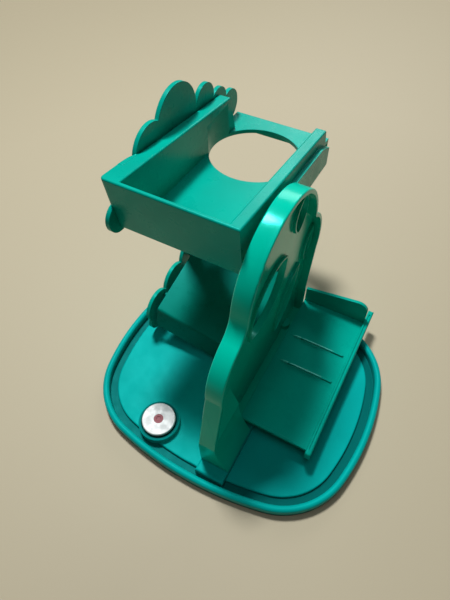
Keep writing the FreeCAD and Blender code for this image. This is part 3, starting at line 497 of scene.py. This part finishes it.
@dataclass
class RimmedPanel:
    """The thick tree panel, its spread foot trimmed to the lean of the front edge."""

    node: str = "right_tree_panel"
    foot_z: float = 0.0400  # height where the front edge starts to lean back
    lobe_z: float = 0.0840  # height where it meets the front circle's foremost point
    lean: float = 0.0130  # how far it leans back between them
    proud: float = 0.00005  # how far the cut stays in front of the edge
    reach: float = 0.030  # how far forward the wedge reaches
    left_inset: float = 0.0010  # from the panel's left face to the wedge
    right_margin: float = 0.0055  # how far the wedge runs past the panel's right side

    def wedge(self) -> bpy.types.Object:
        """Make the cutting wedge in front of the leaning edge.

        Its cross-section in the YZ plane is a quadrilateral: two corners on the edge's straight
        line, moved forward by a hair, and the same two moved forward by the reach.

        Returns:
            The wedge.
        """
        low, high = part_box(self.node)
        edge = np.array([(low[1] - self.proud, self.foot_z),
                         (low[1] + self.lean - self.proud, self.lobe_z)])
        section = np.concatenate([edge, edge[::-1] - (self.reach, 0.0)])
        corners = len(section)
        ends = [np.column_stack([np.full(corners, x), section])
                for x in (low[0] + self.left_inset, high[0] + self.right_margin)]
        left, right = list(range(corners)), list(range(2 * corners - 1, corners - 1, -1))
        walls = [(i, i + corners, (i + 1) % corners + corners, (i + 1) % corners) for i in left]
        mesh = bpy.data.meshes.new("wedge")
        mesh.from_pydata(np.concatenate(ends).tolist(), [], [left, right, *walls])
        work = bmesh.new()
        work.from_mesh(mesh)
        bmesh.ops.recalc_face_normals(work, faces=work.faces)
        work.to_mesh(mesh)
        work.free()
        return add_object("wedge", mesh)

    def build(self) -> None:
        """Trim a copy of the panel, dress it and let it stand for the node."""
        shown, cutter = merged_copy(self.node), self.wedge()
        trim = shown.modifiers.new("trim", "BOOLEAN")
        trim.operation = "DIFFERENCE"
        trim.solver = "EXACT"
        trim.object = cutter
        bpy.context.view_layer.update()
        trimmed = bpy.data.meshes.new_from_object(
            shown.evaluated_get(bpy.context.evaluated_depsgraph_get()))
        shown.modifiers.clear()
        shown.data = trimmed
        bpy.data.objects.remove(cutter)
        finish = MouldedPlastic("tree_rim_green", PANEL_GREEN, Grain.POLISHED, gloss=0.5)
        fix_to_tower(shown, finish.build())
        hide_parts(self.node)


@dataclass
class CornerLip:
    """The top tray's left corner, drawn out along the wall towards the thin panel's first lobe."""

    behind_front: float = 0.01687  # from the tray's front to the lip's
    below_top: float = 0.00353  # from the tray's top to the lip's middle
    over_plate: float = 0.0008  # from the thin panel's right face to the lip's middle
    length: float = 0.0165
    fall: float = 0.1545  # of its top, for each metre towards the back
    half_width: float = 0.00205
    half_height: float = 0.00115
    draw_in: float = 0.8  # share of the width that is gone at the back end
    squareness: float = 0.45
    steps: int = 24
    across: int = 40

    def build(self) -> None:
        """Carry a rounded block's profile along the wall's top edge.

        At share s of the length the profile is x = x0 + w - v + v c and z = z0 - f y + h d.  Here
        v is w (1 - k s^3) with k the draw-in, y is the way along the lip, f its fall, and c and d
        are the cosine and sine of the profile's angle, each raised to the squareness.  So the left
        side draws in to the wall while the right side keeps its place.
        """
        tray_low, tray_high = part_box("top_tray")
        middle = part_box("left_tree_panel")[1][0] - self.over_plate
        share = np.linspace(0.0, 1.0, self.steps)[:, None]
        angle = np.linspace(0.0, 2.0 * math.pi, self.across, endpoint=False)[None, :]
        side, rise = (np.sign(turn) * np.abs(turn) ** self.squareness
                      for turn in (np.cos(angle), np.sin(angle)))
        width = self.half_width * (1.0 - self.draw_in * share ** 3)
        x = middle + self.half_width - width + width * side
        y = tray_low[1] + self.behind_front + self.length * share
        top = tray_high[2] - self.below_top
        z = top - self.fall * self.length * share + self.half_height * rise
        spots = np.stack(np.broadcast_arrays(x, y, z), axis=-1)
        outwards = np.ascontiguousarray(spots[:, ::-1])  # rings turned round, so faces point out
        lip = mesh_from_grid("tray_corner_lip", outwards)
        fix_to_tower(lip, MouldedPlastic("lip_green", GREEN).build())


@dataclass
class ShelfRibs:
    """The two slim ribs across the side tray's floor, each with a rounded back."""

    node: str = "side_tray"
    left_inset: float = 0.0057
    right_inset: float = 0.0078
    floor_rise: float = 0.0165  # from the tray's lowest point to its floor
    height: float = 0.00175
    sunk_share: float = 1 / 3  # how much of the height the bead reaches below the floor
    half_width: float = 0.00100
    rows: tuple[float, ...] = (0.0600, 0.0850)  # from the tray's front to each rib's middle
    steps: int = 48
    across: int = 24

    def bead(self, row: float) -> bpy.types.Object:
        """Carry a half-round profile along X.

        At angle a the profile is y = middle + w cos a and z = floor + h sin a, with w the half
        width and h the height above the floor and the sunk share of it below; both shrink at the
        ends by the root of 1 - e^4, where e runs from -1 to 1 along the rib.

        Args:
            row: From the tray's front to the rib's middle line.

        Returns:
            The bead.
        """
        low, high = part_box(self.node)
        left, right = low[0] + self.left_inset, high[0] - self.right_inset
        middle = low[1] + row
        along = np.sin(np.linspace(-math.pi / 2, math.pi / 2, self.steps + 2)[1:-1])[:, None]
        shrink = np.sqrt(1.0 - along ** 4)
        angle = np.linspace(0.0, 2.0 * math.pi, self.across, endpoint=False)[None, :]
        rise = self.height * np.where(np.sin(angle) > 0, 1.0, self.sunk_share)
        x = (left + right) / 2 + along * (right - left) / 2
        y = middle + self.half_width * np.cos(angle) * shrink
        z = low[2] + self.floor_rise + rise * np.sin(angle) * shrink
        spots = np.stack(np.broadcast_arrays(x, y, z), axis=-1)
        return mesh_from_grid(f"shelf_rib_{middle * 1000:.0f}", spots)

    def build(self) -> None:
        """Lay both beads over the side tray's floor."""
        # the lighter green is a painted highlight on the rib tops
        plastic = MouldedPlastic("rib_painted_highlight_green", RIB_HIGHLIGHT_GREEN, gloss=1.0, sheen=(0.5, 1.0, 0.95)).build()
        for row in self.rows:
            fix_to_tower(self.bead(row), plastic)


@dataclass
class DiscButton:
    """The sprung disc: metal plate and stem, red cap, clip and spring; the screws share its steel."""

    node: str = "press_disc"
    spring: str = "disc_spring"

    def dress(self) -> None:
        """Give the disc, cap, clip, screws and spring their finishes."""
        low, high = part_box(self.node)
        centre = ((low[0] + high[0]) / 2, (low[1] + high[1]) / 2)
        plate = SpunMetal("disc_metal", PLATE_METAL, centre, roughness=0.5, metallic=0.15)
        steel = SpunMetal("wire_steel", WIRE_STEEL, centre, roughness=0.35)
        red = MouldedPlastic("cap_red", CAP_RED, Grain.SPARKED, sheen=WHITE)
        for node, finish in ((self.node, plate), ("disc_cap", red),
                             ("disc_clip", steel), ("base_screws", steel)):
            dress_node(node, finish.build())
        self.free_spring(steel)

    def free_spring(self, steel: SpunMetal) -> None:
        """Let a copy of the spring stand for the node.

        Args:
            steel: The wire's finish.
        """
        wire = merged_copy(self.spring)
        wire.data.materials.clear()
        wire.data.materials.append(steel.build())
        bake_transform(wire)
        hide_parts(self.spring)
        LOG.info("freed %s", wire.name)


@dataclass(frozen=True)
class Lamp:
    """One soft rectangular lamp, which hangs at its place and faces its aim."""

    name: str
    place: Point
    aim: Point
    width: float
    height: float
    watts: float

    def hang(self) -> None:
        """Hang the lamp."""
        light = bpy.data.lights.new(self.name, "AREA")
        light.shape = "RECTANGLE"
        light.size = self.width
        light.size_y = self.height
        light.energy = self.watts
        holder = add_object(self.name, light)
        holder.location = self.place
        way = Vector(self.aim) - Vector(self.place)
        holder.rotation_euler = way.to_track_quat("-Z", "Y").to_euler()


@dataclass(frozen=True)
class Viewpoint:
    """The camera's place, turn and lens."""

    place: Point = (0.07882, -0.15584, 0.35150)
    yaw_deg: float = 30.42
    pitch_deg: float = 54.12
    roll_deg: float = 2.17
    lens_mm: float = 28.8
    sensor_mm: float = 36.0
    nearest: float = 0.01

    def build(self) -> None:
        """Place the camera from its yaw, pitch and roll.

        The axes start at right +X, forward +Y, up +Z; roll turns about forward, pitch tips forward
        down, and yaw turns about up.
        """
        yaw = Matrix.Rotation(math.radians(self.yaw_deg), 3, "Z")
        pitch = Matrix.Rotation(math.radians(-self.pitch_deg), 3, "X")
        roll = Matrix.Rotation(math.radians(self.roll_deg), 3, "Y")
        turn = yaw @ pitch @ roll
        right, ahead, up = (turn @ Vector(axis) for axis in ((1, 0, 0), (0, 1, 0), (0, 0, 1)))
        lens = bpy.data.cameras.new("camera")
        lens.lens = self.lens_mm
        lens.sensor_width = self.sensor_mm
        lens.clip_start = self.nearest
        holder = add_object("camera", lens)
        holder.matrix_world = Matrix((
            (right.x, up.x, -ahead.x, self.place[0]),
            (right.y, up.y, -ahead.y, self.place[1]),
            (right.z, up.z, -ahead.z, self.place[2]),
            (0.0, 0.0, 0.0, 1.0)))
        bpy.context.scene.camera = holder


@dataclass
class Studio:
    """Pale floor, dim room and soft lamps: a key behind the left, a low window, a ceiling light."""

    floor_reach: float = 2.0
    floor_fade: Band = (0.40, 1.0)
    floor_colour: Colour = (0.50, 0.445, 0.31)
    floor_roughness: float = 0.6
    room_colour: Colour = (1.0, 0.98, 0.95)
    room_strength: float = 0.04
    lamps: tuple[Lamp, ...] = (
        Lamp("overhead", (-0.44, 0.40, 1.42), (0.0, 0.0, 0.05), 0.24, 0.24, 20.5),
        Lamp("window", (-0.30, 2.20, 1.10), (0.0, 0.0, 0.08), 1.2, 0.8, 11.0),
        Lamp("ceiling", (0.0, -0.30, 2.20), (0.0, 0.0, 0.05), 0.8, 0.8, 5.0),
    )

    def set_floor(self) -> None:
        """Lay the floor: a flat square at z = 0 that fades into the room with distance."""
        reach = self.floor_reach
        corners = [(-reach, -reach, 0.0), (reach, -reach, 0.0),
                   (reach, reach, 0.0), (-reach, reach, 0.0)]
        mesh = bpy.data.meshes.new("floor")
        mesh.from_pydata(corners, [], [(0, 1, 2, 3)])
        sheet = NodeSheet("floor_pale")
        sheet.shader.inputs["Base Color"].default_value = (*self.floor_colour, 1.0)
        sheet.shader.inputs["Roughness"].default_value = self.floor_roughness
        solid = sheet.ramp(sheet.distance(sheet.place()), self.floor_fade, FALLING)
        sheet.join(solid, sheet.shader.inputs["Alpha"])
        mesh.materials.append(sheet.material)
        add_object("floor", mesh)

    def set_world(self) -> None:
        """Fill the room with a dim even light, seen by the camera as a backdrop like the floor."""
        world = bpy.data.worlds.new("room")
        world.use_nodes = True
        tree = world.node_tree
        light = tree.nodes["Background"]
        light.inputs["Color"].default_value = (*self.room_colour, 1.0)
        light.inputs["Strength"].default_value = self.room_strength
        backdrop = tree.nodes.new("ShaderNodeBackground")
        backdrop.inputs["Color"].default_value = (*self.floor_colour, 1.0)
        ray = tree.nodes.new("ShaderNodeLightPath")
        choice = tree.nodes.new("ShaderNodeMixShader")
        tree.links.new(ray.outputs["Is Camera Ray"], choice.inputs["Fac"])
        tree.links.new(light.outputs["Background"], choice.inputs[1])
        tree.links.new(backdrop.outputs["Background"], choice.inputs[2])
        tree.links.new(choice.outputs["Shader"], tree.nodes["World Output"].inputs["Surface"])
        bpy.context.scene.world = world

    def build(self) -> None:
        """Set the floor, the room and the lamps."""
        self.set_floor()
        self.set_world()
        for lamp in self.lamps:
            lamp.hang()
        bpy.context.scene.view_settings.view_transform = "Standard"


def main() -> None:
    """Dress the tower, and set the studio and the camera."""
    logging.basicConfig(level=logging.INFO, format="%(message)s")
    Mouldings().dress()
    RimmedPanel().build()
    CornerLip().build()
    ShelfRibs().build()
    DiscButton().dress()
    Studio().build()
    Viewpoint().build()


if __name__ == "__main__":
    main()
